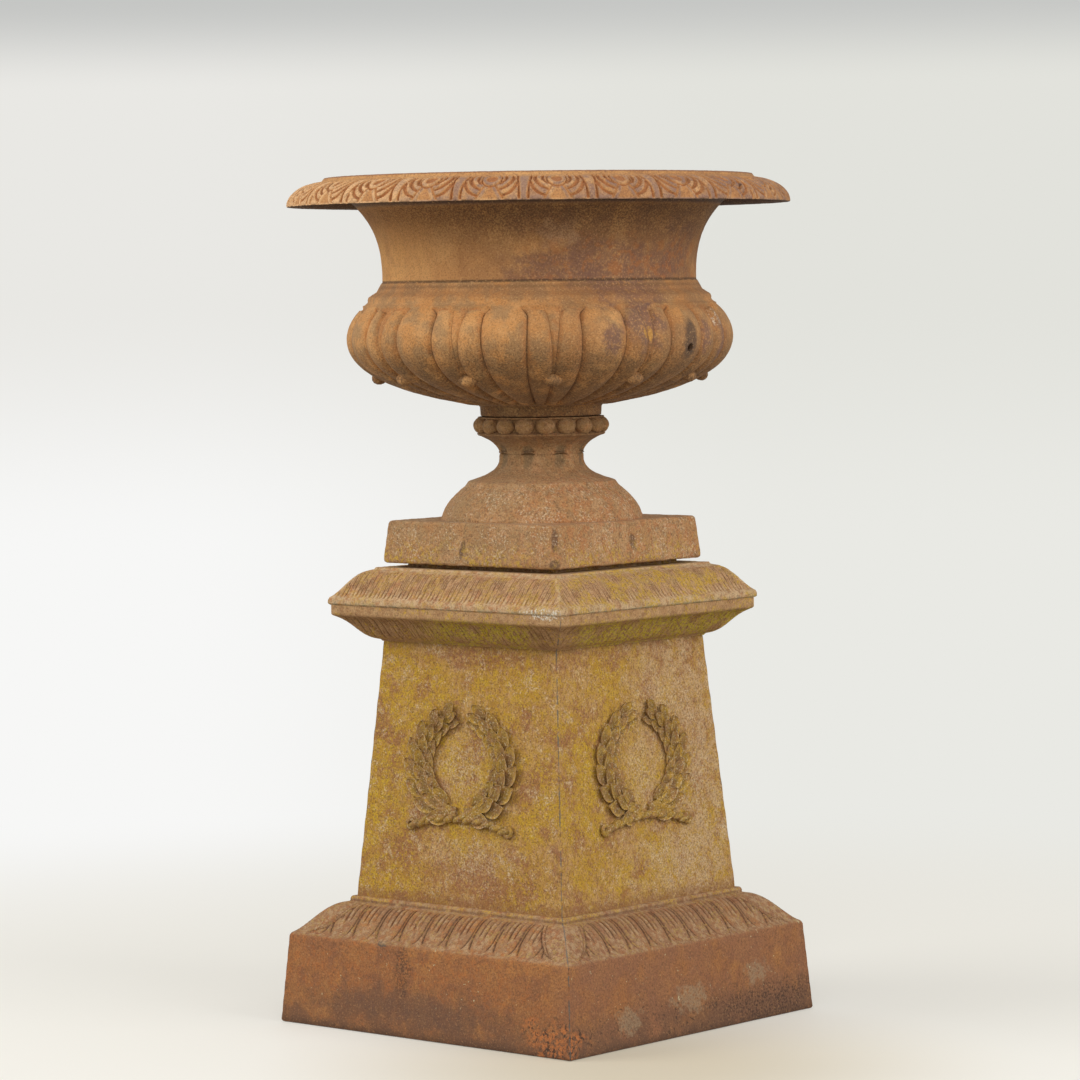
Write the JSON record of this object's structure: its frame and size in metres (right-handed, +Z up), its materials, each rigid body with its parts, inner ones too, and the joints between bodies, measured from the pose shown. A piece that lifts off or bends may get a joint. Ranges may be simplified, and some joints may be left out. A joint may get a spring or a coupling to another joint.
{
  "type": "pedestal planter",
  "caption": "Cast-iron garden urn with a gadrooned bowl and a wide turned-down rim, standing on a square battered pedestal with laurel wreaths.",
  "frame": {"origin": "centre of the pedestal's base, on the ground", "axes": "+Z up the axis of the urn, X and Y square to the pedestal's sides, -Y towards the front side"},
  "size_m": [0.686, 0.686, 1.15],
  "materials": {
    "base_iron": "brown rusted casting, darker at the foot",
    "shaft_iron": "rusted casting with yellow lichen",
    "cornice_iron": "rusted casting with yellow lichen in its hollows",
    "cap_iron": "rusted casting with yellow and pale lichen",
    "wreath_iron": "rusted casting with lichen in its hollows",
    "socle_iron": "rough rusted casting",
    "bowl_iron": "orange rusted casting with purple brown patches",
    "rim_iron": "orange rusted casting with worn grey recesses",
    "fixing_steel": "rusty steel"
  },
  "bodies": {
    "pedestal": {"base_front": "base_iron", "base_right": "base_iron", "base_back": "base_iron", "base_left": "base_iron", "panel_front": "shaft_iron", "panel_right": "shaft_iron", "panel_back": "shaft_iron", "panel_left": "shaft_iron", "cornice_front": "cornice_iron", "cornice_right": "cornice_iron", "cornice_back": "cornice_iron", "cornice_left": "cornice_iron", "cap_plate": "cap_iron", "wreath_front": "wreath_iron", "wreath_right": "wreath_iron", "wreath_back": "wreath_iron", "wreath_left": "wreath_iron", "wreath_screws": "fixing_steel", "corner_bolts": "fixing_steel", "corner_nuts": "fixing_steel", "flange_bolts": "fixing_steel", "flange_nuts": "fixing_steel", "cap_bolts": "fixing_steel"},
    "urn": {"urn_foot": "socle_iron", "urn_collar": "socle_iron", "urn_bowl": "bowl_iron", "urn_rim": "rim_iron", "neck_bolts_set": "fixing_steel", "neck_nuts": "fixing_steel", "tie_rod": "fixing_steel", "tie_rod_nuts": "fixing_steel", "tie_rod_washers": "fixing_steel"}
  },
  "joints": [
    {"name": "urn_lift", "type": "slide", "parent": "pedestal", "child": "urn", "axis": [0, 0, 1], "range_m": [0, 0.12]}
  ]
}
